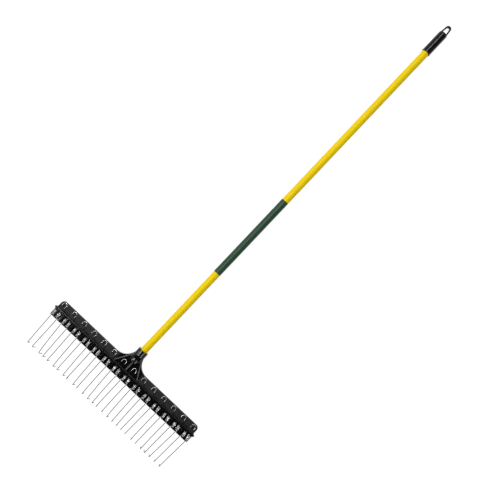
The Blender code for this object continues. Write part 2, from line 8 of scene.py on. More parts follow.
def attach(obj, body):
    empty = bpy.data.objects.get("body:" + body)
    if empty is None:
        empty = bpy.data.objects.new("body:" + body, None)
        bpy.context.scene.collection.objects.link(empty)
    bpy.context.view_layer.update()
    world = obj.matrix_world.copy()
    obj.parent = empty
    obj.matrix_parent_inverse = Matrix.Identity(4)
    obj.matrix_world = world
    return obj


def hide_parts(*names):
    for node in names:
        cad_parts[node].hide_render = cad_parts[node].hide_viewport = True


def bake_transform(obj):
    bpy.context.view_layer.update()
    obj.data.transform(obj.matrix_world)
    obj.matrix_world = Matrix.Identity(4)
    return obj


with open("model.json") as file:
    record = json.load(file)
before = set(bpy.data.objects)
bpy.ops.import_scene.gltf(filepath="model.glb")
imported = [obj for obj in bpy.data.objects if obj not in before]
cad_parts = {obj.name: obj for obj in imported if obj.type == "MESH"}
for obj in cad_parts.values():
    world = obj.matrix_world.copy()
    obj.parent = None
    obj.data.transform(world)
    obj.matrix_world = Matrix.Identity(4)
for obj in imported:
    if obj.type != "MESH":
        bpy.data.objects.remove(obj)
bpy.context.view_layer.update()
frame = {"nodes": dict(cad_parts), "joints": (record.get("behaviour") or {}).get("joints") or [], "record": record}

# Everything is modelled in the rake's own directions, X along the head, Y up the
# handle and Z out of its face, and then laid down as the frame has it.
rake = {
    "coilY": 0.01385,
    "coilZ": 0.01265,
    "handleStart": 0.0655,
    "handleEnd": 1.3459,
    "gripEnd": 1.3497,
}


def layDown():
    # the loop's mount faces straight out of the rake's back, so it gives the tilt, and the first hinge
    # gives the place
    loopBack = next(m for m in frame["record"]["mounts"] if m["name"] == "loop_back")
    tilt = math.atan2(loopBack["axis"][1], -loopBack["axis"][2])
    turn = Matrix.Rotation(tilt, 4, "X")
    hinge = frame["joints"][0]["pos_m"]
    place = Vector(hinge) - turn @ Vector((hinge[0], rake["coilY"], rake["coilZ"]))
    return Matrix.Translation(place) @ turn


rakeToFloor = layDown()


# camera, straight above the middle of the rake and turned so that the handle runs up to the right
camera = {"x": -0.0177, "y": 0.5228, "height": 2.1, "roll": 43.41, "lens": 55.2, "sensor": 36}


def addCamera():
    bpy.ops.object.camera_add()
    eye = bpy.context.object
    eye.data.lens = camera["lens"]
    eye.data.sensor_width = camera["sensor"]
    above = Matrix.Translation((camera["x"], camera["y"], camera["height"]))
    eye.matrix_world = rakeToFloor @ above @ Matrix.Rotation(math.radians(camera["roll"]), 4, "Z")
    bpy.context.scene.camera = eye
    print("camera placed")


# studio: one long narrow softbox up to the left of the handle, a weak one low on each side,
# one in front of the tines and one past the grip. "level" is a lamp's size along the handle in
# the first three and along the head in the last two, and "tilted" is its size the other way.
studio = {
    "floorSide": 14,
    "floorColor": (0.12, 0.12, 0.12, 1),
    "floorRoughness": 0.9,
    "floorSpecular": 0.1,
    "floorGlow": 0.96,
    "sky": {
        "left": 0.42, "right": 0.08, "leftToRight": (-0.2, 0.2),
        "near": 0.15, "far": 1.0, "nearToFar": (-0.35, -0.1),
        "around": 1.0, "top": 0.08, "aroundToTop": (0.90, 0.955),
    },
    "lights": [
        {"name": "overheadStrip", "at": (-0.64, 0.8, 2.05), "aim": (0, 0.8, 0),
         "level": 3.8, "tilted": 0.16, "power": 51},
        {"name": "leftSoftbox", "at": (-1.9, 0.5, 1.1), "aim": (0, 0.5, 0),
         "level": 2.4, "tilted": 0.6, "power": 5},
        {"name": "rightSoftbox", "at": (1.5, 0.5, 1.5), "aim": (0, 0.5, 0),
         "level": 2.4, "tilted": 0.5, "power": 2},
        {"name": "tineSoftbox", "at": (-0.15, -1.40, 0.71), "aim": (0, 0, 0),
         "level": 1.2, "tilted": 0.20, "power": 4},
        {"name": "farSoftbox", "at": (-0.2, 5.0, 2.0), "aim": (0, 0, 0),
         "level": 3.0, "tilted": 2.0, "power": 20},
    ],
}


def addStudio():
    bpy.context.scene.view_settings.view_transform = "Standard"
    world = bpy.data.worlds.new("studioSky")
    world.use_nodes = True
    tree = world.node_tree
    # the backdrop is white to look at; its light is strong from the left, weaker from the right and
    # from beyond the tines, and dark straight above, where the camera stands
    sky = studio["sky"]
    direction = addNode(tree, "ShaderNodeTexCoord").outputs["Generated"]
    toward = addNode(tree, "ShaderNodeSeparateXYZ", {0: direction})
    sideways = spread(tree, toward.outputs["X"], sky["left"], sky["right"], *sky["leftToRight"])
    lengthways = spread(tree, toward.outputs["Y"], sky["near"], sky["far"], *sky["nearToFar"])
    upward = spread(tree, toward.outputs["Z"], sky["around"], sky["top"], *sky["aroundToTop"])
    glow = tree.nodes["Background"]
    glow.inputs["Color"].default_value = (1, 1, 1, 1)
    tree.links.new(multiply(tree, multiply(tree, sideways, lengthways), upward), glow.inputs["Strength"])
    backdrop = addNode(tree, "ShaderNodeBackground", {"Color": (1, 1, 1, 1), "Strength": 1.0})
    seen = addNode(tree, "ShaderNodeLightPath").outputs["Is Camera Ray"]
    both = addNode(tree, "ShaderNodeMixShader", {0: seen, 1: glow.outputs[0], 2: backdrop.outputs[0]})
    tree.links.new(both.outputs[0], tree.nodes["World Output"].inputs["Surface"])
    bpy.context.scene.world = world

    bpy.ops.mesh.primitive_plane_add(size=studio["floorSide"])
    floor = bpy.context.object
    floor.name = "studioFloor"
    paper = bpy.data.materials.new("palePaper")
    paper.use_nodes = True
    shader = paper.node_tree.nodes["Principled BSDF"]
    shader.inputs["Base Color"].default_value = studio["floorColor"]
    shader.inputs["Roughness"].default_value = studio["floorRoughness"]
    shader.inputs["Specular IOR Level"].default_value = studio["floorSpecular"]
    shader.inputs["Emission Color"].default_value = (1, 1, 1, 1)
    shader.inputs["Emission Strength"].default_value = studio["floorGlow"]
    floor.data.materials.append(paper)

    for light in studio["lights"]:
        bpy.ops.object.light_add(type="AREA")
        lamp = bpy.context.object
        lamp.name = light["name"]
        lamp.data.shape = "RECTANGLE"
        lamp.data.size = light["level"]
        lamp.data.size_y = light["tilted"]
        lamp.data.energy = light["power"]
        away = Vector(light["at"])
        facing = (away - Vector(light["aim"])).to_track_quat("Z", "Y").to_matrix().to_4x4()
        lamp.matrix_world = rakeToFloor @ Matrix.Translation(away) @ facing
    print("studio lit")


# shader helpers
def addNode(tree, kind, inputs=None, **settings):
    node = tree.nodes.new(kind)
    for name, value in settings.items():
        setattr(node, name, value)
    for name, value in (inputs or {}).items():
        socket = node.inputs[name]
        if isinstance(value, bpy.types.NodeSocket):
            tree.links.new(value, socket)
        else:
            socket.default_value = value
    return node


def newGroup(name, inputs, outputs):
    group = bpy.data.node_groups.new(name, "ShaderNodeTree")
    for label, kind, start in inputs:
        socket = group.interface.new_socket(label, in_out="INPUT", socket_type=kind)
        if start is not None:
            socket.default_value = start
    for label, kind in outputs:
        group.interface.new_socket(label, in_out="OUTPUT", socket_type=kind)
    return group, group.nodes.new("NodeGroupInput"), group.nodes.new("NodeGroupOutput")


def placeGroup(tree, group, **values):
    node = addNode(tree, "ShaderNodeGroup", node_tree=group)
    for name, value in values.items():
        node.inputs[name].default_value = value
    return node


def newMaterial(name, metallic=0.0, **settings):
    material = bpy.data.materials.new(name)
    material.use_nodes = True
    shader = material.node_tree.nodes["Principled BSDF"]
    shader.inputs["Metallic"].default_value = metallic
    for label, value in settings.items():
        shader.inputs[label.replace("_", " ")].default_value = value
    return material, material.node_tree, shader


def spread(tree, value, low, high, start=0.3, end=0.7):
    ranged = addNode(tree, "ShaderNodeMapRange", {
        "Value": value, "From Min": start, "From Max": end, "To Min": low, "To Max": high})
    return ranged.outputs["Result"]


def multiply(tree, one, other):
    return addNode(tree, "ShaderNodeMath", {0: one, 1: other}, operation="MULTIPLY").outputs[0]


def add(tree, one, other):
    return addNode(tree, "ShaderNodeMath", {0: one, 1: other}, operation="ADD").outputs[0]


def addBump(tree, shader, height, depth):
    bump = addNode(tree, "ShaderNodeBump", {"Height": height, "Distance": depth, "Strength": 1.0})
    tree.links.new(bump.outputs["Normal"], shader.inputs["Normal"])


def blendColors(tree, factor, low, high):
    # a Mix node has sockets of the same name for each data type, so the colours are found by type
    mix = tree.nodes.new("ShaderNodeMix")
    mix.data_type = "RGBA"
    tree.links.new(factor, mix.inputs[0])
    colors = [s for s in mix.inputs if s.type == "RGBA"]
    for socket, value in zip(colors, (low, high)):
        if isinstance(value, bpy.types.NodeSocket):
            tree.links.new(value, socket)
        else:
            socket.default_value = (*value, 1)
    return next(s for s in mix.outputs if s.type == "RGBA")


# effects that several finishes share
def makeGrainGroup():
    # fine moulded grain as a height, and a slow blotchiness as a tone
    group, given, result = newGroup(
        "mouldedGrain",
        [("Fineness", "NodeSocketFloat", 900.0), ("Blotch", "NodeSocketFloat", 25.0)],
        [("Height", "NodeSocketFloat"), ("Tone", "NodeSocketFloat")],
    )
    place = addNode(group, "ShaderNodeTexCoord").outputs["Object"]
    fine = addNode(group, "ShaderNodeTexNoise", {
        "Vector": place, "Scale": given.outputs["Fineness"], "Detail": 3.0, "Roughness": 0.6})
    slow = addNode(group, "ShaderNodeTexNoise", {
        "Vector": place, "Scale": given.outputs["Blotch"], "Detail": 5.0, "Roughness": 0.62})
    group.links.new(fine.outputs["Fac"], result.inputs["Height"])
    group.links.new(slow.outputs["Fac"], result.inputs["Tone"])
    return group


def makeStreakGroup():
    # thin marks drawn out along the handle's direction
    group, given, result = newGroup(
        "drawnStreaks",
        [("Fineness", "NodeSocketFloat", 700.0), ("Stretch", "NodeSocketFloat", 0.02)],
        [("Streak", "NodeSocketFloat")],
    )
    place = addNode(group, "ShaderNodeTexCoord").outputs["Object"]
    squeeze = addNode(group, "ShaderNodeCombineXYZ", {"X": 1.0, "Y": given.outputs["Stretch"], "Z": 1.0})
    drawn = addNode(group, "ShaderNodeVectorMath", {0: place, 1: squeeze.outputs[0]}, operation="MULTIPLY")
    noise = addNode(group, "ShaderNodeTexNoise", {
        "Vector": drawn.outputs[0], "Scale": given.outputs["Fineness"], "Detail": 4.0, "Roughness": 0.55})
    group.links.new(noise.outputs["Fac"], result.inputs["Streak"])
    return group


rubSpots = (0.42, 0.62)  # the noise's own range over which a rubbed spot comes in


def makeRubGroup():
    # outer edges where handling has rubbed the surface, broken up by noise
    group, given, result = newGroup(
        "rubbedEdges",
        [("Reach", "NodeSocketFloat", 0.05), ("Breakup", "NodeSocketFloat", 160.0)],
        [("Mask", "NodeSocketFloat")],
    )
    place = addNode(group, "ShaderNodeTexCoord").outputs["Object"]
    point = addNode(group, "ShaderNodeNewGeometry").outputs["Pointiness"]
    above = addNode(group, "ShaderNodeMath", {0: point, 1: 0.5}, operation="SUBTRACT")
    edge = addNode(
        group, "ShaderNodeMath", {0: above.outputs[0], 1: given.outputs["Reach"]}, operation="DIVIDE",
        use_clamp=True)
    noise = addNode(group, "ShaderNodeTexNoise", {
        "Vector": place, "Scale": given.outputs["Breakup"], "Detail": 6.0})
    spots = spread(group, noise.outputs["Fac"], 0.0, 1.0, *rubSpots)
    group.links.new(multiply(group, edge.outputs[0], spots), result.inputs["Mask"])
    return group


def makePlaceGroup():
    # how far a point is from the rake's middle line, how far up the rake and how far out of its face
    outputs = [("Sideways", "NodeSocketFloat"), ("Along", "NodeSocketFloat"), ("Out", "NodeSocketFloat")]
    group, _, result = newGroup("placeOnRake", [], outputs)
    point = addNode(group, "ShaderNodeTexCoord").outputs["Object"]
    upright = addNode(group, "ShaderNodeMapping", {
        "Vector": point, "Location": rakeToFloor.to_translation(), "Rotation": rakeToFloor.to_euler()},
        vector_type="TEXTURE")
    parts = addNode(group, "ShaderNodeSeparateXYZ", {0: upright.outputs[0]})
    aside = addNode(group, "ShaderNodeMath", {0: parts.outputs["X"]}, operation="ABSOLUTE")
    group.links.new(aside.outputs[0], result.inputs["Sideways"])
    group.links.new(parts.outputs["Y"], result.inputs["Along"])
    group.links.new(parts.outputs["Z"], result.inputs["Out"])
    return group


placeOnRake = makePlaceGroup()
grainGroup = makeGrainGroup()
streakGroup = makeStreakGroup()
rubGroup = makeRubGroup()


# the arms of the plate are matt and blotchy; the bay frame and the middle are smoother and blacker;
# the beads and the tops of the ribs are painted a lighter grey, a painted highlight. Places are in metres on the
# rake.
headFinish = {
    "specular": 0.3,
    "fineness": 1100.0,
    "blotch": 38.0,
    "black": (0.003, 0.003, 0.0035),
    "greyer": (0.016, 0.015, 0.016),
    "polished": (0.0035, 0.0035, 0.004),
    # painted highlight: the lighter grey for the bead and rib tops
    "wearAndHighlight": (0.13, 0.13, 0.135),
    "mattRoughness": (0.54, 0.70),
    "polishedRoughness": 0.10,
    "patches": (0.55, 1.0),
    "grain": 0.000012,
    "frameTop": (0.0302, 0.0305),
    "middle": (0.040, 0.058),
    "beads": (0.0040, 0.0094),
    "beadTops": (0.0153, 0.0158),
    "ribTops": (0.0044, 0.0052, 0.0001),
    "ribStart": (0.0302, 0.0304),
    "bridge": (0.0104, 0.0284),
    "bridgeEnd": (0.0390, 0.0394),
}


def makeHeadPlastic():
    material, tree, shader = newMaterial("mouldedBlackPlastic", Specular_IOR_Level=headFinish["specular"])
    grain = placeGroup(tree, grainGroup, Fineness=headFinish["fineness"], Blotch=headFinish["blotch"])
    place = placeGroup(tree, placeOnRake)
    x, y, z = place.outputs["Sideways"], place.outputs["Along"], place.outputs["Out"]

    def between(value, low, high, soft=0.0003):
        up = spread(tree, value, 0.0, 1.0, low - soft, low + soft)
        down = spread(tree, value, 1.0, 0.0, high - soft, high + soft)
        return multiply(tree, up, down)

    arms = spread(tree, x, 0.0, 1.0, *headFinish["middle"])
    matt = multiply(tree, arms, spread(tree, y, 0.0, 1.0, *headFinish["frameTop"]))
    onTop = spread(tree, z, 0.0, 1.0, *headFinish["beadTops"])
    beads = multiply(tree, between(x, *headFinish["beads"]), onTop)
    aboveFrame = spread(tree, y, 0.0, 1.0, *headFinish["ribStart"])
    ribs = multiply(tree, between(z, *headFinish["ribTops"]), aboveFrame)
    # the bridge on each side of the middle rib gets no painted highlight
    belowEnd = spread(tree, y, 1.0, 0.0, *headFinish["bridgeEnd"])
    bridge = multiply(tree, between(x, *headFinish["bridge"]), belowEnd)
    ribs = multiply(tree, ribs, spread(tree, bridge, 1.0, 0.0, 0.0, 1.0))
    patches = spread(tree, grain.outputs["Tone"], *headFinish["patches"])
    # painted highlight on the bead and rib tops, broken up by the blotches
    wearAndHighlight = multiply(tree, add(tree, beads, ribs), patches)

    tone = spread(tree, grain.outputs["Tone"], 0.0, 1.0)
    base = blendColors(tree, tone, headFinish["black"], headFinish["greyer"])
    base = blendColors(tree, matt, headFinish["polished"], base)
    tree.links.new(blendColors(tree, wearAndHighlight, base, headFinish["wearAndHighlight"]), shader.inputs["Base Color"])
    rough = spread(tree, grain.outputs["Tone"], *headFinish["mattRoughness"])
    polished = spread(tree, matt, headFinish["polishedRoughness"], 0.0, 0.0, 1.0)
    rough = add(tree, multiply(tree, matt, rough), polished)
    tree.links.new(rough, shader.inputs["Roughness"])
    addBump(tree, shader, grain.outputs["Height"], headFinish["grain"])
    return material


# bright wire would mirror the white floor, so the prongs, from the lip down, are painted darker: a painted shade
# that stands in for a darker reflection
wireFinish = {
    "bright": (0.68, 0.68, 0.68),
    "dull": (0.50, 0.50, 0.495),
    "prong": (0.06, 0.06, 0.06),
    "lip": (-0.0045, 0.0005),
    "fineness": 1600.0,
    "blotch": 120.0,
    "markFineness": 2600.0,
    "markStretch": 0.05,
    "roughness": (0.26, 0.34),
    "marks": 0.000008,
}


def makeSpringSteel():
    material, tree, shader = newMaterial("brightSpringWire", metallic=1.0)
    grain = placeGroup(tree, grainGroup, Fineness=wireFinish["fineness"], Blotch=wireFinish["blotch"])
    streak = placeGroup(
        tree, streakGroup, Fineness=wireFinish["markFineness"], Stretch=wireFinish["markStretch"])
    tone = spread(tree, grain.outputs["Tone"], 0.0, 1.0)
    place = placeGroup(tree, placeOnRake)
    # below the lip the wire takes the painted shade colour
    inHead = spread(tree, place.outputs["Along"], 0.0, 1.0, *wireFinish["lip"])
    plated = blendColors(tree, tone, wireFinish["dull"], wireFinish["bright"])
    tree.links.new(blendColors(tree, inHead, wireFinish["prong"], plated), shader.inputs["Base Color"])
    tree.links.new(spread(tree, streak.outputs["Streak"], *wireFinish["roughness"]), shader.inputs["Roughness"])
    addBump(tree, shader, streak.outputs["Streak"], wireFinish["marks"])
    return material


# the rod, the push nuts and the screw
steelFinish = {
    "metallic": 0.9,
    "black": (0.018, 0.018, 0.019),
    "worn": (0.07, 0.068, 0.066),
    "wornShare": 0.4,
    "fineness": 1500.0,
    "blotch": 150.0,
    "rubReach": 0.05,
    "rubBreakup": 500.0,
    "roughness": (0.22, 0.36),
    "grain": 0.00001,
}


def makeBlackSteel():
    material, tree, shader = newMaterial("blackenedSteel", metallic=steelFinish["metallic"])
    grain = placeGroup(tree, grainGroup, Fineness=steelFinish["fineness"], Blotch=steelFinish["blotch"])
    rub = placeGroup(tree, rubGroup, Reach=steelFinish["rubReach"], Breakup=steelFinish["rubBreakup"])
    tone = spread(tree, grain.outputs["Tone"], 0.0, steelFinish["wornShare"])
    base = blendColors(tree, tone, steelFinish["black"], steelFinish["worn"])
    color = blendColors(tree, rub.outputs["Mask"], base, steelFinish["worn"])
    tree.links.new(color, shader.inputs["Base Color"])
    tree.links.new(spread(tree, grain.outputs["Tone"], *steelFinish["roughness"]), shader.inputs["Roughness"])
    addBump(tree, shader, grain.outputs["Height"], steelFinish["grain"])
    return material


tubeFinish = {
    "specular": 0.14,
    "yellow": (0.795, 0.575, 0.0),
    "deeper": (0.765, 0.55, 0.0),
    "deeperShare": 0.55,
    "fineness": 420.0,
    "blotch": 14.0,
    "streakFineness": 900.0,
    "streakStretch": 0.012,
    "roughness": (0.22, 0.27),
    "ripple": 0.000002,
}


def makeYellowTube():
    material, tree, shader = newMaterial("yellowTube", Specular_IOR_Level=tubeFinish["specular"])
    grain = placeGroup(tree, grainGroup, Fineness=tubeFinish["fineness"], Blotch=tubeFinish["blotch"])
    streak = placeGroup(
        tree, streakGroup, Fineness=tubeFinish["streakFineness"], Stretch=tubeFinish["streakStretch"])
    tone = spread(tree, streak.outputs["Streak"], 0.0, tubeFinish["deeperShare"])
    color = blendColors(tree, tone, tubeFinish["yellow"], tubeFinish["deeper"])
    tree.links.new(color, shader.inputs["Base Color"])
    tree.links.new(spread(tree, grain.outputs["Tone"], *tubeFinish["roughness"]), shader.inputs["Roughness"])
    addBump(tree, shader, streak.outputs["Streak"], tubeFinish["ripple"])
    return material


filmFinish = {
    "specular": 0.3,
    "green": (0.014, 0.052, 0.026),
    "paler": (0.026, 0.074, 0.042),
    "palerShare": 0.6,
    "fineness": 260.0,
    "blotch": 30.0,
    "roughness": (0.34, 0.46),
    "wrinkle": 0.00003,
}


def makeGreenFilm():
    material, tree, shader = newMaterial("greenFilm", Specular_IOR_Level=filmFinish["specular"])
    grain = placeGroup(tree, grainGroup, Fineness=filmFinish["fineness"], Blotch=filmFinish["blotch"])
    tone = spread(tree, grain.outputs["Tone"], 0.0, filmFinish["palerShare"])
    color = blendColors(tree, tone, filmFinish["green"], filmFinish["paler"])
    tree.links.new(color, shader.inputs["Base Color"])
    tree.links.new(spread(tree, grain.outputs["Tone"], *filmFinish["roughness"]), shader.inputs["Roughness"])
    addBump(tree, shader, grain.outputs["Tone"], filmFinish["wrinkle"])
    return material


gripFinish = {
    "specular": 0.34,
    "black": (0.003, 0.003, 0.003),
    "dusty": (0.008, 0.008, 0.0075),
    "dustyShare": 0.7,
    "wearAndHighlight": (0.05, 0.05, 0.05),
    "rubReach": 0.06,
    "rubBreakup": 200.0,
    "fineness": 1300.0,
    "blotch": 60.0,
    "roughness": (0.18, 0.28),
    "grain": 0.00002,
}


def makeGripRubber():
    material, tree, shader = newMaterial("softBlackGrip", Specular_IOR_Level=gripFinish["specular"])
    grain = placeGroup(tree, grainGroup, Fineness=gripFinish["fineness"], Blotch=gripFinish["blotch"])
    rub = placeGroup(tree, rubGroup, Reach=gripFinish["rubReach"], Breakup=gripFinish["rubBreakup"])
    tone = spread(tree, grain.outputs["Tone"], 0.0, gripFinish["dustyShare"])
    base = blendColors(tree, tone, gripFinish["black"], gripFinish["dusty"])
    color = blendColors(tree, rub.outputs["Mask"], base, gripFinish["wearAndHighlight"])
    tree.links.new(color, shader.inputs["Base Color"])
    tree.links.new(spread(tree, grain.outputs["Tone"], *gripFinish["roughness"]), shader.inputs["Roughness"])
    addBump(tree, shader, grain.outputs["Height"], gripFinish["grain"])
    return material


# modelling helpers
mergeDistance = 0.00001


def selectOnly(piece):
    bpy.ops.object.select_all(action="DESELECT")
    piece.select_set(True)
    bpy.context.view_layer.objects.active = piece


def applyModifier(piece, kind, **settings):
    selectOnly(piece)
    modifier = piece.modifiers.new(kind.title(), kind)
    for name, value in settings.items():
        setattr(modifier, name, value)
    bpy.ops.object.modifier_apply(modifier=modifier.name)


def cutOrJoin(piece, tool, operation):
    applyModifier(piece, "BOOLEAN", object=tool, operation=operation, solver="EXACT")
    bpy.data.objects.remove(tool, do_unlink=True)


def flattenFaces(piece):
    # broad faces keep their own normals, so the softened edges take all of the bend
    applyModifier(piece, "WEIGHTED_NORMAL", mode="FACE_AREA", weight=80, keep_sharp=True)


def recalculateNormals(piece):
    selectOnly(piece)
    bpy.ops.object.mode_set(mode="EDIT")
    bpy.ops.mesh.select_all(action="SELECT")
    bpy.ops.mesh.remove_doubles(threshold=mergeDistance)
    bpy.ops.mesh.normals_make_consistent(inside=False)
    bpy.ops.object.mode_set(mode="OBJECT")


def finishPiece(piece, name, material, node, body="rake", sharpAngle=35):
    # lays the piece down with the rake, hides the CAD node that it stands for, and attaches the piece to the
    # rake's body when that is its body
    piece.name = name
    piece.data.name = name
    selectOnly(piece)
    piece.matrix_world = rakeToFloor @ piece.matrix_world
    bpy.ops.object.transform_apply(location=True, rotation=True, scale=True)
    piece.data.materials.clear()
    piece.data.materials.append(material)
    bpy.ops.object.shade_smooth_by_angle(angle=math.radians(sharpAngle))
    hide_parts(node)
    if body == "rake":
        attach(piece, body)
    return piece


def turnProfile(profile, facets):
    # a ring is grown along Y, stretched to each radius of the profile in turn
    radius, y = profile[0]
    bpy.ops.mesh.primitive_circle_add(
        vertices=facets, radius=radius, fill_type="NGON", location=(0, 0, 0), rotation=(math.pi / 2, 0, 0))
    piece = bpy.context.object
    piece.location = (0, y, 0)
    selectOnly(piece)
    bpy.ops.object.transform_apply(location=True, rotation=True, scale=True)
    bpy.ops.object.mode_set(mode="EDIT")
    bpy.ops.mesh.select_all(action="SELECT")
    for newRadius, newY in profile[1:]:
        bpy.ops.mesh.extrude_region_move(TRANSFORM_OT_translate={"value": (0, newY - y, 0)})
        ratio = newRadius / radius
        bpy.ops.transform.resize(value=(ratio, 1, ratio), center_override=(0, newY, 0))
        radius, y = newRadius, newY
    bpy.ops.object.mode_set(mode="OBJECT")
    recalculateNormals(piece)
    return piece


# the spring wires
wire = {
    "across": 0.0020,
    "crownY": 0.0451,
    "crownRadius": 0.0062,
    "crownSteps": 8,
    "crownZ": 0.0013,
    "waist": 0.0062,
    "waistDrop": 0.0075,
    "legBendY": 0.0245,
    "legSlope": math.radians(9),
    "coilRadius": 0.0071,
    "coilPitch": 0.00212,
    "coilTurns": 3,
    "pointsPerTurn": 26,
    "prongSlope": math.radians(18),
    "prongSpread": 0.0105,
    "prongSteps": 12,
    "leanCurve": 1.7,
    "reach": 0.1179,
    "hookRadius": 0.0050,
    "hookTurn": math.radians(97),
    "hookSteps": 7,
    "hookLength": 0.0130,
    "tipTaper": 0.0004,
    "tipWidth": 0.75,
    "roundness": 4,
    "sharpAngle": 50,
}
# how far each prong's tip stands to the right in millimetres, and how far its hook leans that
# way in degrees, from the left end of the head to the right
prongLean = [1, -2, 6, 1, 0.6, 2.8, 0.6, 3.4, 0, 4, 1.2, 3, 6, 3.6,
             1.5, 2.6, 5.4, 4.6, 4.3, 0.7, 0.3, 2.8, 2.4, 3.4, 2, -1.2, 0.9, 0.2]
hookLean = [10, 25, 29, 18, 12, 19, 17, 16, 3, 13, 0, 8, 23, 11,
            3, 4, 12, 4, 6, 3, 3, 8, 5, -6, -17, -5, 3, -3]


def roundCorners(points, rounds=3):
    # each round cuts every corner off at a quarter of its sides
    for _ in range(rounds):
        softer = [points[0]]
        for one, other in zip(points, points[1:]):
            softer += [one.lerp(other, 0.25), one.lerp(other, 0.75)]
        points = [*softer, points[-1]]
    return points


def legHeight(y):
    # a leg slopes down from its coil until it lies level with the crown
    startY = rake["coilY"] - wire["coilRadius"] * math.sin(wire["legSlope"])
    startZ = rake["coilZ"] - wire["coilRadius"] * math.cos(wire["legSlope"])
    return max(wire["crownZ"], startZ - (y - startY) * math.tan(wire["legSlope"]))


def halfWire(side, lean, turn):
    # from the middle of the hairpin's crown down to the tip of one hook
    points = []
    for step in range(wire["crownSteps"] + 1):
        angle = math.pi / 2 * (1 - step / wire["crownSteps"])
        points.append(Vector((
            wire["crownRadius"] * math.cos(angle),
            wire["crownY"] + wire["crownRadius"] * math.sin(angle),
            wire["crownZ"])))
    turnTotal = 2 * math.pi * wire["coilTurns"] - wire["legSlope"] - wire["prongSlope"]
    coilStart = wire["prongSpread"] - wire["coilPitch"] * turnTotal / (2 * math.pi)
    waistY = wire["crownY"] - wire["waistDrop"]
    steps = round(turnTotal / (2 * math.pi) * wire["pointsPerTurn"])
    coil = []
    for step in range(steps + 1):
        turned = wire["legSlope"] + turnTotal * step / steps
        coil.append(Vector((
            coilStart + wire["coilPitch"] * (turned - wire["legSlope"]) / (2 * math.pi),
            rake["coilY"] - wire["coilRadius"] * math.sin(turned),
            rake["coilZ"] - wire["coilRadius"] * math.cos(turned))))
    leg = [
        points[-1],
        Vector((wire["waist"], waistY, legHeight(waistY))),
        Vector((coilStart, wire["legBendY"], legHeight(wire["legBendY"]))),
        coil[0],
    ]
    points += roundCorners(leg)[1:-1] + coil

    start = coil[-1]
    forward = Vector((0, -math.cos(wire["prongSlope"]), -math.sin(wire["prongSlope"])))
    bend = wire["hookTurn"] - wire["prongSlope"]
    run = (start.y + wire["reach"]) / math.cos(wire["prongSlope"]) - wire["hookRadius"] * math.tan(bend / 2)
    sideways = side * lean / 1000
    for step in range(1, wire["prongSteps"] + 1):
        share = step / wire["prongSteps"]
        points.append(start + forward * run * share + Vector((sideways * share ** wire["leanCurve"], 0, 0)))
    heading = (points[-1] - points[-2]).normalized()
    back = wire["hookTurn"] - math.pi / 2
    down = Vector((side * math.tan(math.radians(turn)), math.sin(back), -math.cos(back))).normalized()
    stride = wire["hookRadius"] * bend / wire["hookSteps"]
    for step in range(wire["hookSteps"]):
        points.append(points[-1] + heading.slerp(down, (step + 0.5) / wire["hookSteps"]) * stride)
    last = points[-1]
    points += [last + down * wire["hookLength"] * share for share in (0.33, 0.66)]
    points += [last + down * (wire["hookLength"] - wire["tipTaper"]), last + down * wire["hookLength"]]
    return points


def addWire(index, material):
    # both halves are bent as the right one, and the left one's points are then mirrored
    right = halfWire(1, prongLean[2 * index + 1], hookLean[2 * index + 1])
    left = halfWire(-1, prongLean[2 * index], hookLean[2 * index])
    path = [Vector((-p.x, p.y, p.z)) for p in reversed(left[1:])] + right
    hinge = frame["joints"][index]
    middle = hinge["pos_m"][0]
    bpy.ops.curve.primitive_nurbs_path_add(location=(0, 0, 0))
    tube = bpy.context.object
    tube.data.splines.clear()
    spline = tube.data.splines.new("POLY")
    spline.points.add(len(path) - 1)
    for target, point in zip(spline.points, path):
        target.co = (point.x + middle, point.y, point.z, 1)
    spline.points[0].radius = spline.points[-1].radius = wire["tipWidth"]
    tube.data.bevel_depth = wire["across"] / 2
    tube.data.bevel_resolution = wire["roundness"]
    tube.data.use_fill_caps = True
    bpy.ops.object.convert(target="MESH")
    body = hinge["child"]
    piece = finishPiece(
        tube, f"springWire{index + 1:02d}", material, body, body,
        sharpAngle=wire["sharpAngle"])
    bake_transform(piece)


def addWires():
    material = makeSpringSteel()
    for index in range(len(frame["joints"])):
        addWire(index, material)
    print("spring wires bent")


# the moulded head: a copy of the CAD solid with its sharp moulded edges softened
head = {"edge": 0.00025, "rounds": 2, "edgeAngle": 30, "sharpAngle": 38}


def addHead():
    solid = frame["nodes"]["rake_head"]
    selectOnly(solid)
    bpy.ops.object.duplicate()
    moulding = bpy.context.object
    moulding.parent = None
    # the solid's mesh is loose triangles, so they are joined before the edges are softened
    bpy.ops.object.mode_set(mode="EDIT")
    bpy.ops.mesh.select_all(action="SELECT")
    bpy.ops.mesh.remove_doubles(threshold=mergeDistance)
    bpy.ops.object.mode_set(mode="OBJECT")
    moulding.matrix_world = rakeToFloor.inverted()
    applyModifier(
        moulding, "BEVEL", width=head["edge"], segments=head["rounds"], limit_method="ANGLE",
        angle_limit=math.radians(head["edgeAngle"]), use_clamp_overlap=False)
    finishPiece(
        moulding, "headMoulding", makeHeadPlastic(), "rake_head",
        sharpAngle=head["sharpAngle"])
    flattenFaces(moulding)
    print("head moulded")


# the rod through the head and the push nut on each of its ends
rod = {"y": 0.02632, "z": 0.00628, "radius": 0.0018, "halfLength": 0.2715, "chamfer": 0.0005, "facets": 28}
nut = {
    "start": 0.2670, "radius": 0.0046, "rim": 0.0007, "rimRound": 1.6, "neck": 0.86, "height": 0.0028,
    "bore": 0.0021, "boreRun": 0.005, "wall": 0.0014, "crown": 0.0004, "facets": 48, "boreFacets": 32,
    "slots": 6, "slotWidth": 0.0005, "slotReach": 0.4, "slotPlace": 0.75,
}


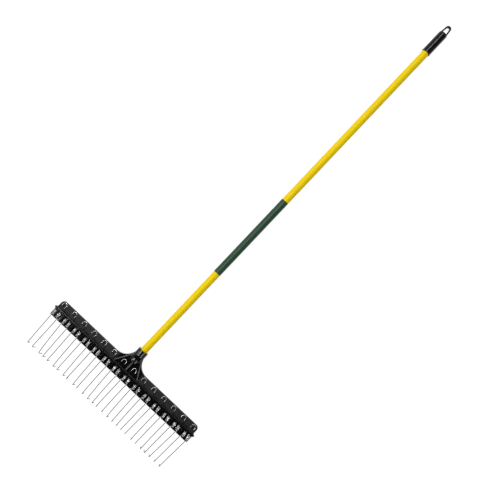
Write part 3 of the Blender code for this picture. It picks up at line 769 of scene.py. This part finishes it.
def addRod(material):
    low, high = -rod["halfLength"], rod["halfLength"]
    small = rod["radius"] - rod["chamfer"]
    profile = [(small, low), (rod["radius"], low + rod["chamfer"])]
    profile += [(rod["radius"], high - rod["chamfer"]), (small, high)]
    piece = turnProfile(profile, rod["facets"])
    piece.matrix_world = Matrix.Translation((0, rod["y"], rod["z"])) @ Matrix.Rotation(-math.pi / 2, 4, "Z")
    finishPiece(piece, "lockingRod", material, "tine_rod")


def addNut(side, material):
    start, end = nut["start"], nut["start"] + nut["height"]
    profile = [(nut["radius"], start), (nut["radius"], start + nut["rim"])]
    profile += [(nut["radius"] * nut["neck"], start + nut["rim"] * nut["rimRound"])]
    profile += [(nut["bore"] + nut["wall"], end - nut["crown"]), (nut["bore"] + nut["wall"] * 0.5, end)]
    piece = turnProfile(profile, nut["facets"])
    boreEnds = (start - nut["boreRun"], end + nut["boreRun"])
    hole = turnProfile([(nut["bore"], y) for y in boreEnds], nut["boreFacets"])
    cutOrJoin(piece, hole, "DIFFERENCE")
    for step in range(nut["slots"]):
        angle = 2 * math.pi * step / nut["slots"]
        reach = nut["bore"] + nut["wall"] * nut["slotReach"]
        bpy.ops.mesh.primitive_cube_add(size=1, location=(0, end, 0))
        slot = bpy.context.object
        slot.scale = (nut["slotWidth"], nut["height"], reach)
        slot.location = (
            reach * math.sin(angle) * nut["slotPlace"], end, reach * math.cos(angle) * nut["slotPlace"])
        slot.rotation_euler = (0, angle, 0)
        selectOnly(slot)
        bpy.ops.object.transform_apply(location=True, rotation=True, scale=True)
        cutOrJoin(piece, slot, "DIFFERENCE")
    turn = Matrix.Rotation(-side * math.pi / 2, 4, "Z")
    piece.matrix_world = Matrix.Translation((0, rod["y"], rod["z"])) @ turn
    name = "right" if side > 0 else "left"
    finishPiece(piece, f"{name}PushNut", material, f"push_nut_{name}")


# the handle tube and the printed film round it
tube = {"radius": 0.0111, "wall": 0.0030, "facets": 96}
film = {"start": 0.4088, "end": 0.6913, "inner": 0.01122, "thick": 0.00022, "overlap": 0.35,
        "lift": 0.00024, "liftRate": 3, "around": 120, "along": 40}


def addTube():
    low, high = rake["handleStart"], rake["handleEnd"]
    bpy.ops.mesh.primitive_cylinder_add(
        vertices=tube["facets"], radius=tube["radius"], depth=high - low, end_fill_type="NOTHING",
        location=(0, (low + high) / 2, 0), rotation=(math.pi / 2, 0, 0))
    piece = bpy.context.object
    bpy.ops.object.transform_apply(location=True, rotation=True, scale=True)
    applyModifier(piece, "SOLIDIFY", thickness=tube["wall"], offset=-1)
    finishPiece(piece, "yellowHandleTube", makeYellowTube(), "handle_tube")
    print("handle tube drawn")


def addFilm():
    # the film goes a little more than once round, and its outer end lies on its inner end
    bpy.ops.mesh.primitive_grid_add(x_subdivisions=film["around"], y_subdivisions=film["along"], size=1)
    piece = bpy.context.object
    length = film["end"] - film["start"]
    total = 2 * math.pi + film["overlap"]
    for vertex in piece.data.vertices:
        around, along = vertex.co.x + 0.5, vertex.co.y + 0.5
        angle = math.pi + total * (around - 0.5)
        overlapped = max(0.0, around * total - 2 * math.pi) / film["overlap"]
        radius = film["inner"] + film["lift"] * min(1.0, overlapped * film["liftRate"])
        x, z = radius * math.sin(angle + math.pi), radius * math.cos(angle + math.pi)
        vertex.co = (x, film["start"] + length * along, z)
    piece.data.update()
    recalculateNormals(piece)
    applyModifier(piece, "SOLIDIFY", thickness=film["thick"], offset=1)
    finishPiece(piece, "greenFilm", makeGreenFilm(), "label_sleeve")
    print("film wrapped")


# the screw at the back of the socket
screw = {
    "y": 0.0802, "seat": 0.0152, "shank": 0.0021, "tip": 0.0066, "tipRadius": 0.0006, "tipTaper": 0.0008,
    "head": 0.0042, "rim": 0.0007, "height": 0.0026, "domeSteps": 7, "domeTop": 0.0002, "facets": 40,
    "crossWidth": 0.0011, "crossLength": 0.0050, "crossDepth": 0.0014,
}


def addScrew(material):
    seat = screw["seat"]
    top = seat + screw["height"]
    profile = [(screw["tipRadius"], screw["tip"]), (screw["shank"], screw["tip"] + screw["tipTaper"])]
    profile += [(screw["shank"], seat), (screw["head"], seat), (screw["head"], seat + screw["rim"])]
    for step in range(1, screw["domeSteps"]):
        angle = math.pi / 2 * step / screw["domeSteps"]
        rise = screw["rim"] + (screw["height"] - screw["rim"]) * math.sin(angle)
        profile.append((screw["head"] * math.cos(angle), seat + rise))
    profile.append((screw["domeTop"], top))
    piece = turnProfile(profile, screw["facets"])
    for turned in (0, math.pi / 2):
        bpy.ops.mesh.primitive_cube_add(size=1, location=(0, top, 0))
        cross = bpy.context.object
        cross.scale = (screw["crossWidth"], 2 * screw["crossDepth"], screw["crossLength"])
        cross.rotation_euler = (0, turned, 0)
        bpy.ops.object.transform_apply(location=True, rotation=True, scale=True)
        cutOrJoin(piece, cross, "DIFFERENCE")
    piece.matrix_world = Matrix.Translation((0, screw["y"], 0)) @ Matrix.Rotation(-math.pi / 2, 4, "X")
    finishPiece(piece, "socketScrew", material, "socket_screw")


# the grip with its hanging loop
grip = {
    "start": 1.2742, "radius": 0.0130, "facets": 80,
    "rim": 0.0005, "rimEdge": (0.00015, 0.0002), "rimRound": 0.0005, "rimWidth": 0.003,
    "rimTaper": 0.0015, "rimFoot": (0.0001, 0.8),
    "bore": 0.0114, "boreRun": 0.01, "boreRoom": 0.0003,
    "shoulder": 0.007, "shoulderSteps": 8, "edge": 0.0004, "edgeAngle": 40,
}
loop = {
    "base": 0.0111, "crown": 0.0088, "crownSteps": 14, "length": 0.0270, "side": 0.0046, "top": 0.0067,
    "thick": 0.0064, "root": 0.0035, "holeRise": 0.0003, "edge": 0.0014, "edgeAngle": 60, "edgeRounds": 4,
}


def loopPlan(base, crown, baseY, topY):
    # two straight sides that run into a round crown, seen from above
    centreY = topY - crown
    distance = math.hypot(base, centreY - baseY)
    tangent = math.acos(crown / distance) - math.atan2(centreY - baseY, base)
    right = [(base, baseY)]
    for step in range(loop["crownSteps"] + 1):
        angle = tangent + (math.pi / 2 - tangent) * step / loop["crownSteps"]
        right.append((crown * math.cos(angle), centreY + crown * math.sin(angle)))
    return right + [(-x, y) for x, y in reversed(right[:-1])]


def addPlate(plan, thick):
    bpy.ops.mesh.primitive_circle_add(
        vertices=len(plan), radius=1, fill_type="NGON", location=(0, 0, -thick / 2))
    plate = bpy.context.object
    bpy.ops.object.transform_apply(location=True, rotation=True, scale=True)
    for vertex, (x, y) in zip(plate.data.vertices, plan):
        vertex.co.x, vertex.co.y = x, y
    selectOnly(plate)
    bpy.ops.object.mode_set(mode="EDIT")
    bpy.ops.mesh.select_all(action="SELECT")
    bpy.ops.mesh.extrude_region_move(TRANSFORM_OT_translate={"value": (0, 0, thick)})
    bpy.ops.object.mode_set(mode="OBJECT")
    recalculateNormals(plate)
    return plate


def addGrip():
    rim = grip["radius"] + grip["rim"]
    start, end = grip["start"], rake["gripEnd"]
    inset, lead = grip["rimEdge"]
    proud, share = grip["rimFoot"]
    profile = [(grip["radius"], start), (rim - inset, start + lead), (rim, start + grip["rimRound"])]
    profile += [(rim, start + grip["rimWidth"])]
    profile += [(grip["radius"] + proud, start + grip["rimWidth"] + grip["rimTaper"] * share)]
    profile += [(grip["radius"], start + grip["rimWidth"] + grip["rimTaper"])]
    for step in range(grip["shoulderSteps"] + 1):
        angle = math.pi / 2 * step / grip["shoulderSteps"]
        radius = loop["base"] + (grip["radius"] - loop["base"]) * math.cos(angle)
        profile.append((radius, end - grip["shoulder"] * (1 - math.sin(angle))))
    piece = turnProfile(profile, grip["facets"])
    plan = loopPlan(loop["base"], loop["crown"], end - loop["root"], end + loop["length"])
    tab = addPlate(plan, loop["thick"])
    applyModifier(
        tab, "BEVEL", width=loop["edge"], segments=loop["edgeRounds"], limit_method="ANGLE",
        angle_limit=math.radians(loop["edgeAngle"]))
    cutOrJoin(piece, tab, "UNION")
    inner = loopPlan(
        loop["base"] - loop["side"], loop["crown"] - loop["side"], end + loop["holeRise"],
        end + loop["length"] - loop["top"])
    cutOrJoin(piece, addPlate(inner, 2 * loop["thick"]), "DIFFERENCE")
    boreEnds = (start - grip["boreRun"], rake["handleEnd"] + grip["boreRoom"])
    bore = turnProfile([(grip["bore"], y) for y in boreEnds], grip["facets"])
    cutOrJoin(piece, bore, "DIFFERENCE")
    applyModifier(
        piece, "BEVEL", width=grip["edge"], segments=2, limit_method="ANGLE",
        angle_limit=math.radians(grip["edgeAngle"]), use_clamp_overlap=False)
    finishPiece(piece, "softGrip", makeGripRubber(), "grip")
    flattenFaces(piece)
    print("grip moulded")


addCamera()
addStudio()
addWires()
addHead()
blackSteel = makeBlackSteel()
addRod(blackSteel)
addNut(-1, blackSteel)
addNut(1, blackSteel)
addTube()
addFilm()
addScrew(blackSteel)
addGrip()
